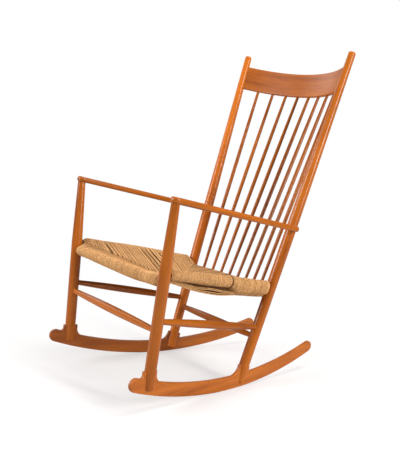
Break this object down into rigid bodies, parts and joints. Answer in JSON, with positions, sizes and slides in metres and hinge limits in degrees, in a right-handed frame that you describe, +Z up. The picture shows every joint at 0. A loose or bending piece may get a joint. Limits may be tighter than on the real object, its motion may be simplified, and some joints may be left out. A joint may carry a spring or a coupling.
{
  "type": "rocking chair",
  "caption": "High-backed wooden rocking chair with turned legs, bowed spindle back, slim sloping arms, bent crest board, curved rockers and a woven cord seat.",
  "frame": {"origin": "on the floor, midway between the rockers, on the line where they touch the floor with the empty chair at rest", "axes": "+Z up, the chair faces -Y, +X is the sitter's left"},
  "size_m": [0.5996, 0.8406, 1.0871],
  "materials": {
    "frame_wood": "satin, oiled",
    "seat_cord": "matt twisted paper cord"
  },
  "bodies": {
    "root": {"rocker_left": "frame_wood", "rocker_right": "frame_wood", "front_leg_left": "frame_wood", "front_leg_right": "frame_wood", "rear_post_left": "frame_wood", "rear_post_right": "frame_wood", "crest_rail": "frame_wood", "arm_left": "frame_wood", "arm_right": "frame_wood", "front_stretcher": "frame_wood", "rear_stretcher": "frame_wood", "side_stretcher_left": "frame_wood", "side_stretcher_right": "frame_wood", "seat_front_rail": "frame_wood", "seat_rear_rail": "frame_wood", "seat_side_rail_left": "frame_wood", "seat_side_rail_right": "frame_wood", "arm_dowels": "frame_wood", "spindle_1": "frame_wood", "spindle_2": "frame_wood", "spindle_3": "frame_wood", "spindle_4": "frame_wood", "spindle_5": "frame_wood", "spindle_6": "frame_wood", "spindle_7": "frame_wood", "spindle_8": "frame_wood", "seat_weave": "seat_cord"}
  },
  "joints": []
}
